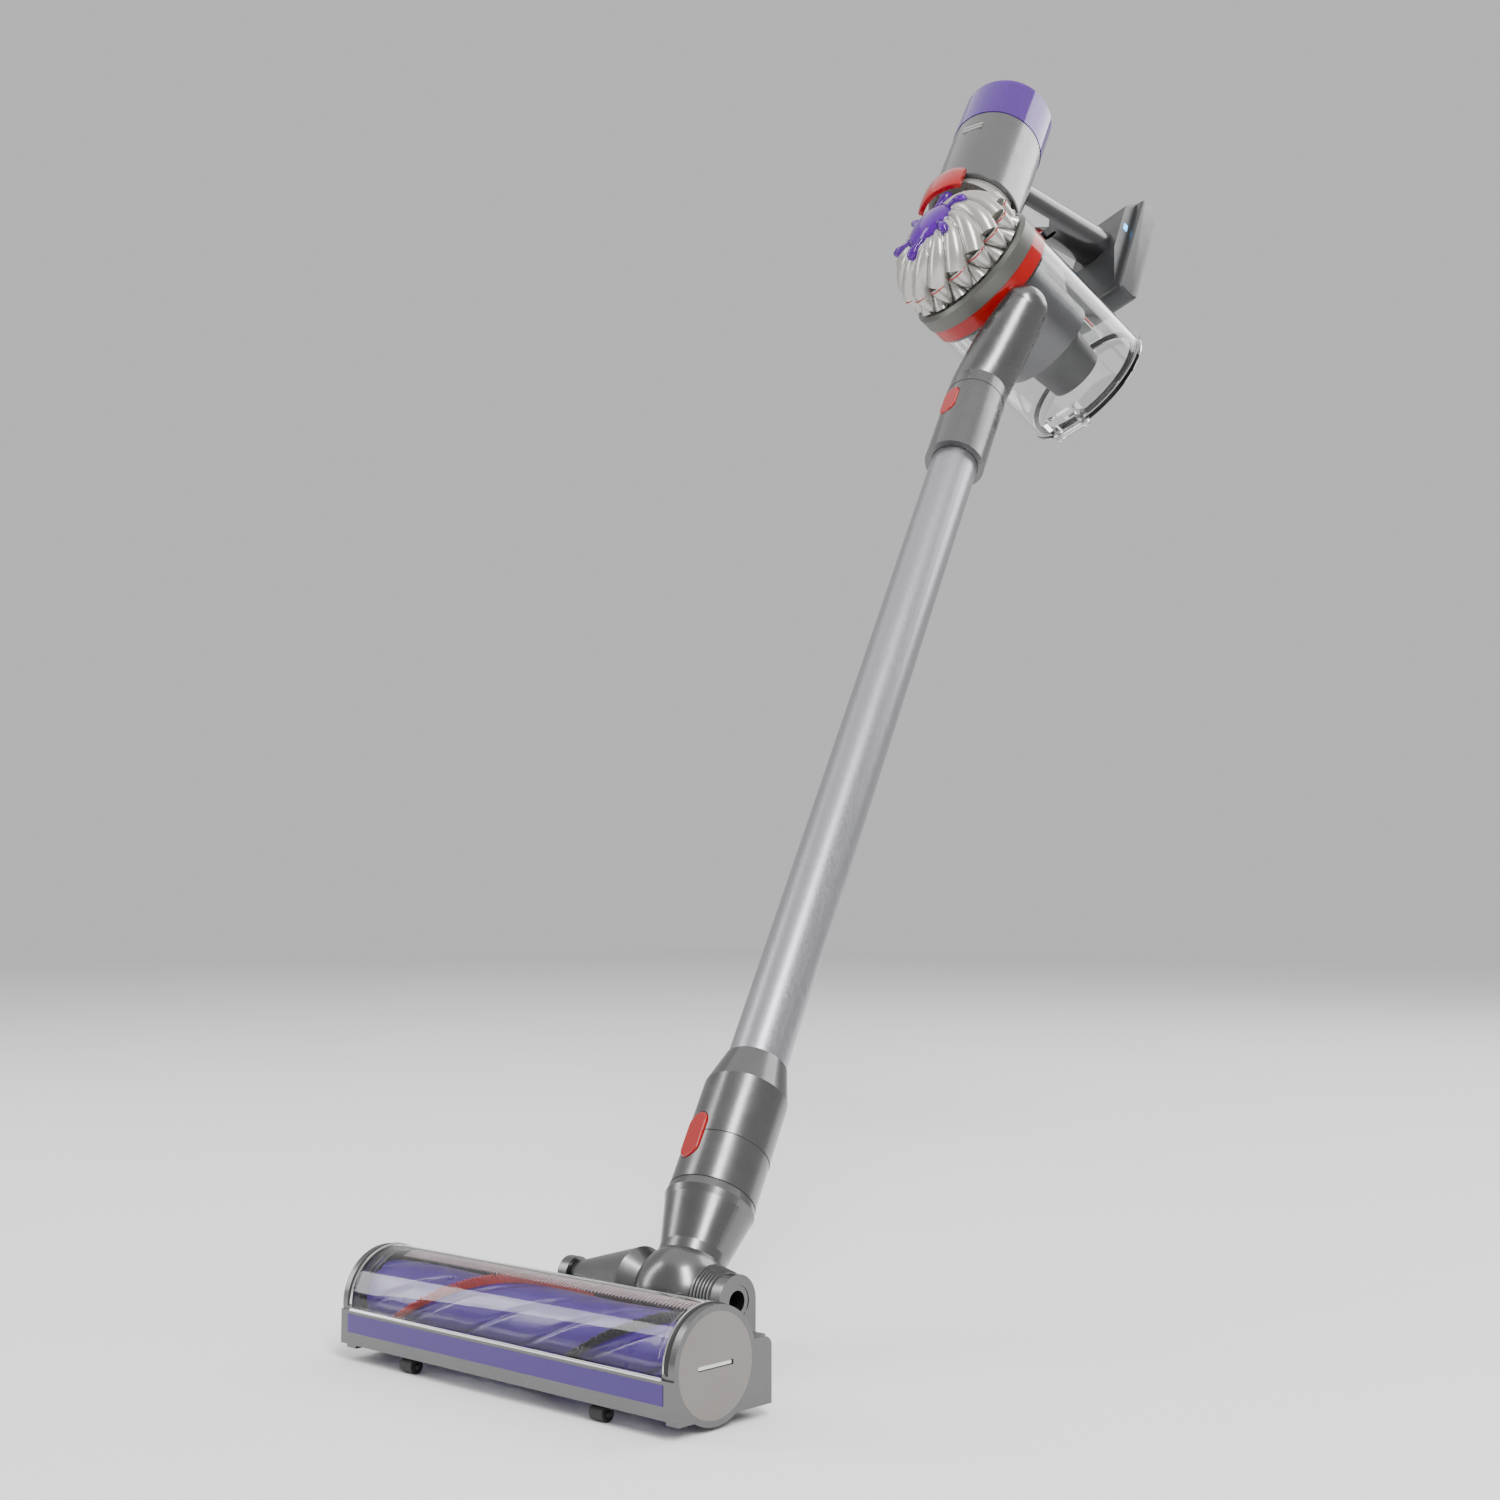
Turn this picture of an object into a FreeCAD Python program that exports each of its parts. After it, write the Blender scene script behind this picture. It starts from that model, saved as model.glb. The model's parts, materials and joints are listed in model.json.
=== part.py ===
import FreeCAD, Part
import math
import os
from FreeCAD import Matrix, Rotation
from FreeCAD import Vector as V

# Cordless stick vacuum, in millimetres, +Z up, with the cleaning head flat on the floor and
# the wand leaning back, to one side.  The origin is the middle of the hand grip.
#
# Three local frames are used while building:
#   machine  x to the right, y to the back, z up along the wand, origin at the inlet's mouth
#   neck     the machine's axes, origin at the centre of the neck's ball
#   head     x to the right, y to the back, z up from the floor, y = 0 at the brush bar's axis

os.makedirs("parts", exist_ok=True)

# ---- general clearances and walls -------------------------------------------------------
RUN = 0.05            # radial clearance of a pin that turns in a bore
GAP = 0.4             # gap between faces that move past each other
SEAT = 0.15           # gap between curved faces that are fixed to each other
WALL = 2.2            # wall of the moulded housings
PRINT = 0.6           # depth of marks, seams and shallow pockets

# ---- posture ----------------------------------------------------------------------------
wand_tilt = 37.3      # lean of the wand to the back, with the neck straight, degrees
swivel_lean = 74.6    # angle of the neck's swivel axis from the vertical, degrees
swivel_turn = -18.3   # how far the neck is turned about that axis, degrees

# ---- wand -------------------------------------------------------------------------------
tube_visible = 565.0
tube_r = 18.0
tube_wall = 1.0
tube_in_inlet = 34.0
tube_in_collar = 40.0
plug_reach = 4.0
collar_wall = 7.3
collar_r = tube_r + collar_wall
collar_chamfer = 22.0
collar_top_len = 62.0
collar_low_len = 30.0
button_half_w = 7.5
button_half_l = 15.0
button_proud = 0.7
button_travel = 2.0
button_deep = 4.6

# ---- neck -------------------------------------------------------------------------------
ball_r = 26.0
ball_wall = 4.0
cone_len = 32.0
cone_end_r = 19.5
cone_rim_r = collar_r + 1.0
neck_bore = 13.0
spigot_len = 40.0
barrel_r = 21.0
barrel_end_r = 14.5
barrel_taper = 9.0
barrel_tip_r = 7.0
barrel_left = 82.0
hub_right = 34.0
hub_rings = 6
hub_ring_proud = 3.0
neck_turn_low = -44.0
neck_turn_high = 8.0
neck_room_steps = 8
saddle_wall = 2.6
swivel_pin_r = 4.0
pitch_pin_r = 9.0
tip_pin_r = 5.0
pivot_y = 100.0
pivot_z = 34.0
pivot_x = 5.0

# ---- cleaning head ----------------------------------------------------------------------
head_w = 250.0
cap_thick = 4.0
cheek_thick = 4.0
cover_r = 27.9
cover_wall = 1.5
axis_z = 30.0
end_cap_r = 25.0
coin_slot_l = 24.0
coin_slot_w = 2.4
sole_z = 6.0
sill_front = -29.0
sill_back = -23.5
sill_top = 27.0
window_back = 19.0
rear_y = 39.0
rear_z = 38.0
felt_low = 15.5
felt_high = 25.0
felt_proud = 0.4
comb_teeth = 44
comb_tooth_w = 1.6
comb_margin = 12.0
comb_slant = 20.0
brush_r = 20.5
bristle_r = 25.4
brush_bore = 17.0
bristle_steps = 32
bristle_w = 5.0
bristle_lap = 1.5
bristle_twist = -300.0
brush_motor_r = 15.5
brush_motor_len = 100.0
spigot_r = 6.0
arm_w = 7.0
arm_r = 14.5
tip_arm_r = 9.5
roller_r = 4.0
roller_w = 9.0
roller_x = 72.0
roller_y = -23.0
rear_wheel_r = 6.0
rear_wheel_w = 6.0
axle_r = 1.5

# ---- bin and cyclones, on an axis that crosses the wand's axis square -------------------
bin_z = 213.3
bin_r = 57.9
bin_wall = 2.2
bin_back = 99.0
bin_front = -20.0
flap_thick = 4.0
flap_rim = 1.8
ring_front = -32.6
ring_r = 58.6
ring_in_r = 53.0
bezel_front = -48.0
bezel_back = -33.0
bezel_r = 59.4
lip_y = -66.0
cone_front_y = -94.0
cap_front_y = -98.7
cyclone_count = 15
horn_front_r = 6.5
horn_back_r = 8.5
horn_front_at = 27.0
horn_back_at = 47.5
horn_swirl = 24.0
lobe_at = 48.0
lobe_r = 8.5
lobe_tip_r = 4.5
shroud_r = 42.0
shroud_back = 50.0
inner_cone_r = 27.0
inner_cone_back = 88.0
pre_filter_r = 17.0
claw_count = 6
cap_disc_r = 22.0
runner_half_w = 9.0
runner_top = 279.0

# ---- motor ------------------------------------------------------------------------------
motor_y = -60.4
motor_r = 39.0
motor_low = 274.0
cap_seam = 374.0
motor_top = 436.0
lever_low = 251.0
lever_high = 281.0
lever_thick = 5.0
lever_sweep = 34.0
bridge_r = 35.0
stator_r = 30.0
impeller_r = 27.0
shaft_r = 3.0

# ---- inlet ------------------------------------------------------------------------------
inlet_wall = 5.3
inlet_r = tube_r + inlet_wall
inlet_straight = 92.0
inlet_stop = 40.0
inlet_bore = 15.0
inlet_button_z = 56.0

# ---- handle and battery -----------------------------------------------------------------
handle_r = 18.0
handle_wall = 2.4
handle_y = 0.0
handle_z = 352.0
handle_rise = 24.5
root_len = 16.0
battery_front = 72.0
slab_front = 83.4
slab_back = 106.1
slab_low = 313.0
slab_high = 453.0
slab_w = 66.3
block_w = 52.0
cell_r = 9.0
cell_count = 6
cell_gap = 1.0
slab_corner_r = 11.0
slab_edge_r = 5.0
slab_floor = 16.0
socket_r = 3.0
socket_len = 9.0
grip_y = 42.0

X = V(1, 0, 0)
Y = V(0, 1, 0)
Z = V(0, 0, 1)
EPS = 1.0             # how far a cutting tool runs past the face it cuts


# ---- shapes -----------------------------------------------------------------------------
def rod(radius, start, axis, length):
    return Part.makeCylinder(radius, length, start, axis)


def sleeve(outer, inner, start, axis, length):
    bore = rod(inner, start - axis * EPS, axis, length + 2 * EPS)
    return rod(outer, start, axis, length).cut(bore)


def block(x0, x1, y0, y1, z0, z1):
    return Part.makeBox(x1 - x0, y1 - y0, z1 - z0, V(x0, y0, z0))


def turned(profile, centre, axis):
    """Revolve (radius, distance along the axis) points about an axis through centre."""
    points = [V(radius, 0, along) for radius, along in profile]
    face = Part.Face(Part.makePolygon(points + points[:1]))
    solid = face.revolve(V(0, 0, 0), Z, 360)
    solid.Placement = FreeCAD.Placement(centre, Rotation(Z, axis))
    return solid


def prism_x(outline, half_width):
    """Extrude a (y, z) outline both ways from x = 0."""
    points = [V(-half_width, y, z) for y, z in outline]
    face = Part.Face(Part.makePolygon(points + points[:1]))
    return face.extrude(V(2 * half_width, 0, 0))


def united(shapes):
    return shapes[0].multiFuse(shapes[1:]).removeSplitter()


def around(centre, axis, angle, shape):
    turned_shape = shape.copy()
    turned_shape.rotate(centre, axis, angle)
    return turned_shape


def oval_key(half_w, half_l, near, far, z, clearance=0.0):
    """An oval bar on the front of the wand, from radius near to radius far."""
    half_w = half_w + clearance
    half_l = half_l + clearance
    straight = half_l - half_w
    bar = block(-half_w, half_w, -far, -near, z - straight, z + straight)
    ends = [rod(half_w, V(0, -far, z + side * straight), Y, far - near) for side in (-1, 1)]
    return united([bar] + ends)


# ---- frames -----------------------------------------------------------------------------
swivel_axis = V(0, math.sin(math.radians(swivel_lean)), math.cos(math.radians(swivel_lean)))
machine_turn = Rotation(swivel_axis, swivel_turn).multiply(Rotation(X, -wand_tilt))
collar_len = collar_top_len + collar_low_len
neck_drop = collar_len + cone_len + ball_r
tube_end = -tube_visible
ball_in_machine = V(0, 0, tube_end - neck_drop)
handle_dir = V(0, math.cos(math.radians(handle_rise)), math.sin(math.radians(handle_rise)))
handle_start = V(0, handle_y, handle_z)
grip_in_machine = handle_start + handle_dir * (grip_y - handle_y)
machine_origin = machine_turn.multVec(grip_in_machine) * -1
ball_in_row = machine_origin + machine_turn.multVec(ball_in_machine)
ball_in_head = V(pivot_x, pivot_y, pivot_z)

MACHINE = FreeCAD.Placement(machine_origin, machine_turn)
NECK = FreeCAD.Placement(ball_in_row, machine_turn)
HEAD = FreeCAD.Placement(ball_in_row - ball_in_head, Rotation())


def save(node, shape, frame):
    solid = shape.Solids[0] if len(shape.Solids) == 1 else shape
    placed = solid.copy()
    placed.transformShape(frame.toMatrix(), True)
    placed.exportStep("parts/" + node + ".step")


# ---- wand -------------------------------------------------------------------------------
def wand_button_z():
    return tube_end - collar_top_len - 2.0


def build_tube():
    low = tube_end - tube_in_collar
    return sleeve(tube_r, tube_r - tube_wall, V(0, 0, low), Z, tube_in_inlet - low)


def build_plug():
    inside = tube_r - tube_wall
    ring = sleeve(tube_r, inside - 2.0, V(0, 0, tube_in_inlet), Z, plug_reach)
    stem = sleeve(inside - SEAT, inside - 2.0, V(0, 0, tube_in_inlet - 24), Z, 24)
    return united([ring, stem])


def collar_bores():
    """Everything that is hollow in the two collars below the tube."""
    tube_hole = rod(tube_r + SEAT, V(0, 0, tube_end - tube_in_collar), Z, tube_in_collar + EPS)
    stop_hole = rod(tube_r - tube_wall - 1.0, V(0, 0, tube_end - collar_len - EPS), Z, collar_len)
    socket_top = tube_end - collar_len + spigot_len + 2.0
    socket = rod(tube_r + GAP, V(0, 0, tube_end - collar_len - EPS), Z, spigot_len + 2.0 + EPS)
    key = oval_key(button_half_w, button_half_l, collar_r + button_proud - button_deep
                   - button_travel - GAP, collar_r + 3, wand_button_z(), GAP)
    assert socket_top < tube_end - tube_in_collar
    return united([tube_hole, stop_hole, socket]), key


def build_collar_top():
    shell = turned([(0, 0), (tube_r + 1.2, 0), (collar_r, -collar_chamfer),
                    (collar_r, -collar_top_len), (0, -collar_top_len)], V(0, 0, tube_end), Z)
    bores, key = collar_bores()
    return shell.cut(bores).cut(key)


def build_collar_low():
    shell = rod(collar_r, V(0, 0, tube_end - collar_len), Z, collar_low_len)
    bores, key = collar_bores()
    return shell.cut(bores).cut(key)


def build_wand_button():
    far = collar_r + button_proud
    key = oval_key(button_half_w, button_half_l, far - button_deep, far, wand_button_z())
    return key.makeFillet(1.0, [edge for edge in key.Edges if edge.BoundBox.YMax < -far + 0.1])


# ---- neck -------------------------------------------------------------------------------
def pin_direction():
    """The swivel axis in the neck's own frame, pointing down and to the front."""
    return machine_turn.inverted().multVec(swivel_axis) * -1


def build_neck_elbow():
    rim = ball_r + cone_len
    cone = turned([(0, 0), (cone_end_r, 0), (cone_end_r, ball_r - 3), (cone_rim_r - 1.2, rim - 9),
                   (cone_rim_r, rim - 5), (collar_r, rim), (0, rim)], V(0, 0, 0), Z)
    ball = Part.makeSphere(ball_r)
    hollow = Part.makeSphere(ball_r - ball_wall)
    bore = rod(neck_bore, V(0, 0, 0), Z, rim + EPS)
    side_port = rod(neck_bore - 2, V(0, 0, 0), machine_turn.inverted().multVec(X), ball_r + EPS)
    shell = united([cone, ball]).cut(hollow).cut(bore).cut(side_port)
    axis = pin_direction()
    boss = rod(2 * swivel_pin_r, axis * (ball_r / 3), axis, ball_r).common(Part.makeSphere(ball_r))
    hole = rod(swivel_pin_r + RUN, V(0, 0, 0), axis, 2 * ball_r)
    return united([shell, boss]).cut(hole)


def build_neck_spigot():
    rim = ball_r + cone_len
    return sleeve(tube_r, neck_bore, V(0, 0, rim), Z, spigot_len)


def build_swivel_pin():
    axis = swivel_axis * -1
    start = ball_in_head + axis * (ball_r / 3 + 1)
    return rod(swivel_pin_r, start, axis, ball_r + GAP - ball_r / 3 - 1)


def ball_socket():
    return Part.makeSphere(ball_r + GAP, ball_in_head)


def arm_left_x():
    return pivot_x - barrel_left - GAP


def arm_right_x():
    return pivot_x + hub_right + GAP


def neck_room():
    """What the elbow's cone sweeps, over the whole turn of the neck."""
    rim = ball_r + cone_len
    cone = turned([(0, 0), (cone_end_r + GAP, 0), (cone_end_r + GAP, ball_r - 3),
                   (cone_rim_r + GAP, rim - 9), (cone_rim_r + GAP, rim), (0, rim)], V(0, 0, 0), Z)
    cone.Placement = FreeCAD.Placement(ball_in_head, machine_turn).multiply(cone.Placement)
    step = (neck_turn_high - neck_turn_low) / neck_room_steps
    turns = [neck_turn_low + step * number for number in range(neck_room_steps + 1)]
    return [around(ball_in_head, swivel_axis, -turn, cone) for turn in turns]


def build_barrel():
    """The tapering barrel to the left of the ball, with its pivot pin."""
    body = turned([(0, 0), (barrel_end_r, 0), (barrel_end_r, ball_r - 4),
                   (barrel_r, ball_r - 4 + barrel_taper), (barrel_tip_r, barrel_left),
                   (0, barrel_left)], ball_in_head, X * -1)
    pin = rod(tip_pin_r, V(pivot_x - barrel_left, pivot_y, pivot_z), X * -1, arm_w)
    return united([body.cut(neck_room()), pin, saddle()]).cut(ball_socket())


def hub_ring_r():
    return barrel_end_r + hub_ring_proud


def build_hub():
    """Ribbed hose collar to the right of the ball, with its hollow pivot."""
    start = ball_r - 4
    pitch = (hub_right - start) / hub_rings
    profile = [(0, 0), (barrel_end_r, 0)]
    for ring in range(hub_rings):
        radius = hub_ring_r() - 0.4 * ring
        along = start + ring * pitch
        profile += [(radius - 1.4, along), (radius, along + 0.3 * pitch),
                    (radius, along + 0.7 * pitch), (radius - 1.4, along + pitch)]
    profile += [(0, hub_right)]
    body = turned(profile, ball_in_head, X)
    pin = rod(pitch_pin_r, V(pivot_x + hub_right, pivot_y, pivot_z), X, arm_w)
    bore = rod(pitch_pin_r - 3, ball_in_head, X, hub_right + 2 * arm_w)
    return united([body.cut(neck_room()), pin]).cut(ball_socket()).cut(bore)


def saddle():
    """Cup in front of and below the ball that ties the barrel to the hub."""
    outer = Part.makeSphere(ball_r + GAP + saddle_wall, ball_in_head)
    cup = outer.cut(ball_socket())
    far = 2 * ball_r
    below = block(pivot_x - far, pivot_x + far, pivot_y - far, pivot_y + far,
                  pivot_z - far, pivot_z + 2)
    behind = rod(2 * far, ball_in_head - swivel_axis * 6.0, swivel_axis, 2 * far)
    hub_room = rod(hub_ring_r() + RUN, ball_in_head, X, far)
    hole = rod(swivel_pin_r + RUN, ball_in_head, swivel_axis * -1, far)
    return cup.common(below).cut(behind).cut(hub_room).cut(hole)


# ---- cleaning head ----------------------------------------------------------------------
half_w = head_w / 2
body_half = half_w - cap_thick
chamber_half = body_half - cheek_thick
chamber_r = cover_r - cover_wall
AXIS = V(0, 0, axis_z)


def side_outline(x0, x1):
    """The D-shaped end of the head, with its foot at the back."""
    disc = rod(cover_r, V(x0, 0, axis_z), X, x1 - x0)
    nose = block(x0, x1, sill_front, 0, sole_z + 3, sill_top)
    base = block(x0, x1, sill_front + 4, rear_y, sole_z, axis_z - 6)
    foot = block(x0, x1, cover_r - 4, rear_y, sole_z, rear_z)
    foot = foot.makeFillet(5.0, [e for e in foot.Edges
                                 if e.BoundBox.YMin > rear_y - 0.1 and e.BoundBox.ZMin > rear_z - 0.1])
    return united([disc, nose, base, foot])


def build_chassis():
    rear = block(-body_half, body_half, 8, rear_y, sole_z, rear_z)
    roof = sleeve(cover_r, chamber_r, V(-body_half, 0, axis_z), X, 2 * body_half)
    roof = roof.common(block(-half_w, half_w, window_back + GAP, cover_r + 1, axis_z, 2 * cover_r))
    sill = block(-body_half, body_half, sill_front, sill_back, sole_z + 3, sill_top)
    cheeks = [side_outline(-body_half, -chamber_half), side_outline(chamber_half, body_half)]
    arms = []
    for x0, radius in ((arm_left_x() - arm_w, tip_arm_r), (arm_right_x(), arm_r)):
        bar = block(x0, x0 + arm_w, rear_y - 2, pivot_y, sole_z, pivot_z)
        eye = rod(radius, V(x0, pivot_y, pivot_z), X, arm_w)
        heel = block(x0, x0 + arm_w, pivot_y - radius, pivot_y + radius, sole_z, pivot_z)
        arms += [bar, eye, heel]
    body = united([rear, roof, sill] + cheeks + arms)
    body = body.cut(rod(chamber_r, V(-chamber_half, 0, axis_z), X, 2 * chamber_half))
    body = body.cut(rod(tip_pin_r + RUN, V(-half_w, pivot_y, pivot_z), X, half_w))
    body = body.cut(rod(pitch_pin_r + RUN, V(0, pivot_y, pivot_z), X, half_w))
    body = body.cut(rod(end_cap_boss_r() + RUN, V(chamber_half - EPS, 0, axis_z), X, 2 * EPS + cheek_thick))
    body = body.cut(block(-felt_half(), felt_half(), sill_front - 1, sill_front + PRINT,
                          felt_low, felt_high))
    for x in (-roller_x, roller_x):
        body = body.cut(roller_pocket(x))
    for side in (-1, 1):
        body = body.cut(rear_axle(axle_r + RUN, side))
    return body


def roller_pocket(x):
    half = roller_w / 2 + GAP
    pocket = rod(roller_r + 1.2, V(x - half, roller_y, roller_r), X, 2 * half)
    axle = rod(axle_r + RUN, V(x - half - 3, roller_y, roller_r), X, 2 * half + 6)
    return pocket.fuse(axle)


def rear_axle(radius, side):
    """A stub from the inner face of an arm, through the wheel and into the arm."""
    inner_face = arm_left_x() if side < 0 else arm_right_x()
    length = rear_wheel_w + GAP + arm_w / 2
    start = V(inner_face - side * (rear_wheel_w + GAP), pivot_y, rear_wheel_r)
    return rod(radius, start, X * side, length)


def felt_half():
    return body_half - 2.0


def build_felt():
    return block(-felt_half() + 0.2, felt_half() - 0.2, sill_front - felt_proud,
                 sill_front + PRINT, felt_low, felt_high)


def build_cover():
    shell = sleeve(cover_r, chamber_r + SEAT, V(-chamber_half - 2, 0, axis_z), X,
                   2 * chamber_half + 4)
    keep = block(-half_w, half_w, -2 * cover_r, window_back, sill_top + 0.2, 3 * cover_r)
    cheeks = [side_outline(-body_half, -chamber_half), side_outline(chamber_half, body_half)]
    return shell.common(keep).cut(cheeks[0]).cut(cheeks[1])


def build_comb():
    """Bar of slanted teeth under the window's back edge."""
    skin = sleeve(chamber_r - SEAT, bristle_r + SEAT, V(-half_w, 0, axis_z), X, head_w)
    bar = block(-chamber_half + 1, chamber_half - 1, window_back - 3, window_back + 3, axis_z, 2 * axis_z)
    pitch = (2 * chamber_half - 2 * comb_margin) / comb_teeth
    teeth = []
    for number in range(comb_teeth):
        x = -chamber_half + comb_margin + pitch * number
        tooth = block(x, x + comb_tooth_w, window_back - 12, window_back, axis_z, 2 * axis_z)
        teeth.append(around(V(x, window_back, axis_z), Z, comb_slant, tooth))
    return united([bar] + teeth).common(skin)


def end_cap_boss_r():
    return 2 * spigot_r


def build_side_frame():
    """Right-hand side frame, with a round opening for the end cap."""
    frame = side_outline(body_half, half_w)
    return frame.cut(rod(end_cap_r + RUN, V(body_half - EPS, 0, axis_z), X, cap_thick + 2 * EPS))


def build_left_cap():
    return side_outline(-half_w, -body_half)


def build_end_cap():
    disc = rod(end_cap_r, V(body_half, 0, axis_z), X, cap_thick)
    slot = block(half_w - 1.6, half_w + 1, -coin_slot_l / 2, coin_slot_l / 2,
                 axis_z - coin_slot_w / 2, axis_z + coin_slot_w / 2)
    boss = rod(end_cap_boss_r(), V(chamber_half - 2, 0, axis_z), X, cheek_thick + 2)
    spigot = rod(spigot_r, V(chamber_half - 14, 0, axis_z), X, 14)
    return united([disc, boss, spigot]).cut(slot)


def brush_ends():
    return -chamber_half + 3, chamber_half - 3


def build_brush_core():
    low, high = brush_ends()
    body = rod(brush_r, V(low, 0, axis_z), X, high - low)
    motor_room = rod(brush_bore, V(low - 1, 0, axis_z), X, brush_motor_len + 6)
    bearing = rod(spigot_r + RUN, V(chamber_half - 16, 0, axis_z), X, 20)
    return body.cut(motor_room).cut(bearing)


def build_bristles(first_angle):
    """A row of bristles that winds round the brush bar."""
    low, high = brush_ends()
    step = (high - low - 6) / bristle_steps
    pieces = []
    for number in range(bristle_steps):
        x = low + 3 + number * step
        piece = block(x, x + step + bristle_lap, -bristle_w / 2, bristle_w / 2,
                      axis_z + brush_r - 1, axis_z + bristle_r - 0.2)
        angle = first_angle + bristle_twist * number / bristle_steps
        pieces.append(around(AXIS, X, angle, piece))
    return united(pieces).cut(rod(brush_r + 0.01, V(-half_w, 0, axis_z), X, head_w))


def build_brush_motor():
    low, _ = brush_ends()
    body = rod(brush_motor_r, V(low + 3, 0, axis_z), X, brush_motor_len)
    mount = rod(brush_motor_r - 3, V(-chamber_half, 0, axis_z), X, 8)
    room = rod(brush_motor_r - WALL, V(low + 8, 0, axis_z), X, brush_motor_len)
    return united([body, mount]).cut(room)


def build_roller(x):
    half = roller_w / 2
    wheel = rod(roller_r, V(x - half, roller_y, roller_r), X, roller_w)
    axle = rod(axle_r, V(x - half - 2.5, roller_y, roller_r), X, roller_w + 5)
    return united([wheel, axle])


def build_rear_wheel(side):
    inner_face = arm_left_x() if side < 0 else arm_right_x()
    start = V(inner_face - side * (rear_wheel_w + GAP), pivot_y, rear_wheel_r)
    tyre = rod(rear_wheel_r, start, X * side, rear_wheel_w)
    return tyre.fuse(rear_axle(axle_r, side))


# ---- inlet ------------------------------------------------------------------------------
def inlet_loft(inset):
    """The bend from the straight inlet to the side of the bin."""
    stations = [(V(0, 0, inlet_straight - 1), V(0, 0, 1), inlet_r),
                (V(9, -2, inlet_straight + 20), V(0.42, -0.1, 1), inlet_r),
                (V(26, -6, inlet_straight + 48), V(0.62, -0.14, 1), inlet_r - 1.5),
                (V(40, -9, inlet_straight + 70), V(0.62, -0.14, 1), inlet_r - 4.5)]
    circles = [Part.Wire(Part.makeCircle(radius - inset, centre, direction))
               for centre, direction, radius in stations]
    bend = Part.makeLoft(circles, True)
    end_centre, _, end_radius = stations[-1]
    return united([bend, Part.makeSphere(end_radius - inset, end_centre)])


def bin_envelope():
    """What the fixed housings must stay clear of: the bin, its ring and the bezel."""
    back = rod(bin_r + SEAT, V(0, bin_front, bin_z), Y, bin_back - bin_front + flap_thick)
    front = rod(bezel_r + GAP, V(0, cap_front_y - 60, bin_z), Y, bin_front - cap_front_y + 60)
    return united([back, front])


def build_inlet():
    straight = rod(inlet_r, V(0, 0, 0), Z, inlet_straight)
    mouth = rod(tube_r + 0.3, V(0, 0, -EPS), Z, inlet_stop + EPS)
    throat = rod(inlet_bore, V(0, 0, 0), Z, inlet_straight)
    outside = united([straight, inlet_loft(0.0)])
    far = inlet_r + button_proud
    key = oval_key(button_half_w, button_half_l, far - button_deep - button_travel - GAP,
                   far + 3, inlet_button_z, GAP)
    duct = outside.cut(mouth).cut(throat).cut(inlet_loft(WALL + 1.2)).cut(key)
    return duct.cut(bin_envelope())


def build_inlet_button():
    far = inlet_r + button_proud
    key = oval_key(button_half_w, button_half_l, far - button_deep, far, inlet_button_z)
    return key.makeFillet(1.0, [edge for edge in key.Edges if edge.BoundBox.YMax < -far + 0.1])


# ---- bin --------------------------------------------------------------------------------
BIN = V(0, 0, bin_z)


def bin_turned(profile):
    """Revolve (radius, y) points about the bin's axis."""
    return turned(profile, BIN, Y)


def build_bin():
    shell = sleeve(bin_r, bin_r - bin_wall, V(0, bin_front, bin_z), Y, bin_back - bin_front)
    return shell.cut(inlet_loft(WALL + 1.2))


def build_red_ring():
    return sleeve(ring_r, ring_in_r, V(0, ring_front, bin_z), Y, bin_front - ring_front)


def build_wiper():
    outer = bin_r - bin_wall - SEAT
    return sleeve(outer, shroud_r + GAP, V(0, bin_front, bin_z), Y, 3.0)


def build_runner():
    """Rail along the bin, on the side of the handle."""
    rail = block(-runner_half_w, runner_half_w, bin_front, bin_back, bin_z, runner_top)
    return rail.cut(rod(bin_r + SEAT, V(0, bin_front - 1, bin_z), Y, 2 * bin_back))


def hinge_point():
    return V(0, bin_back + flap_thick / 2, bin_z - bin_r - 4.5)


def build_flap():
    rim = bin_r + flap_rim
    disc = rod(rim, V(0, bin_back + 0.2, bin_z), Y, flap_thick)
    dish = rod(rim - 7, V(0, bin_back - 1, bin_z), Y, flap_thick - 0.6)
    knuckle = rod(3.4, hinge_point() - X * 11, X, 22)
    web = block(-11, 11, bin_back + 0.4, bin_back + flap_thick, hinge_point().z, bin_z - bin_r + 6)
    catch = block(-6, 6, bin_back + 0.8, bin_back + flap_thick, bin_z + rim - 2.4, bin_z + rim + 5)
    pin_hole = rod(1.6 + RUN, hinge_point() - X * 20, X, 40)
    return united([disc.cut(dish), knuckle, web, catch]).cut(pin_hole)


def build_flap_seal():
    outer = bin_r - bin_wall - 0.6
    return sleeve(outer, outer - 4, V(0, bin_back - 2.6, bin_z), Y, 2.8)


def build_hinge_pin():
    return rod(1.6, hinge_point() - X * 17, X, 34)


def build_hinge_lugs():
    """Two lugs under the bin that hold the flap's hinge pin."""
    point = hinge_point()
    lugs = []
    for side in (-1, 1):
        x0 = side * 11.4 if side > 0 else -17
        ear = block(x0, x0 + 5.6, bin_back - 16, bin_back + 1, point.z - 2, bin_z - bin_r + 14)
        knuckle = rod(3.4, V(x0, point.y, point.z), X, 5.6)
        lugs.append(ear.fuse(knuckle))
    bridge = block(-17, 17, bin_back - 16, bin_back - 10, point.z - 2, bin_z - bin_r + 14)
    body = united(lugs + [bridge])
    body = body.cut(rod(1.6, point - X * 20, X, 40))
    sweep = rod(bin_r + SEAT, V(0, bin_back - 30, bin_z), Y, 31)
    flap_room = rod(bin_r + flap_rim + GAP, V(0, bin_back - 0.2, bin_z), Y, 10)
    return body.cut(sweep).cut(flap_room)


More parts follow.
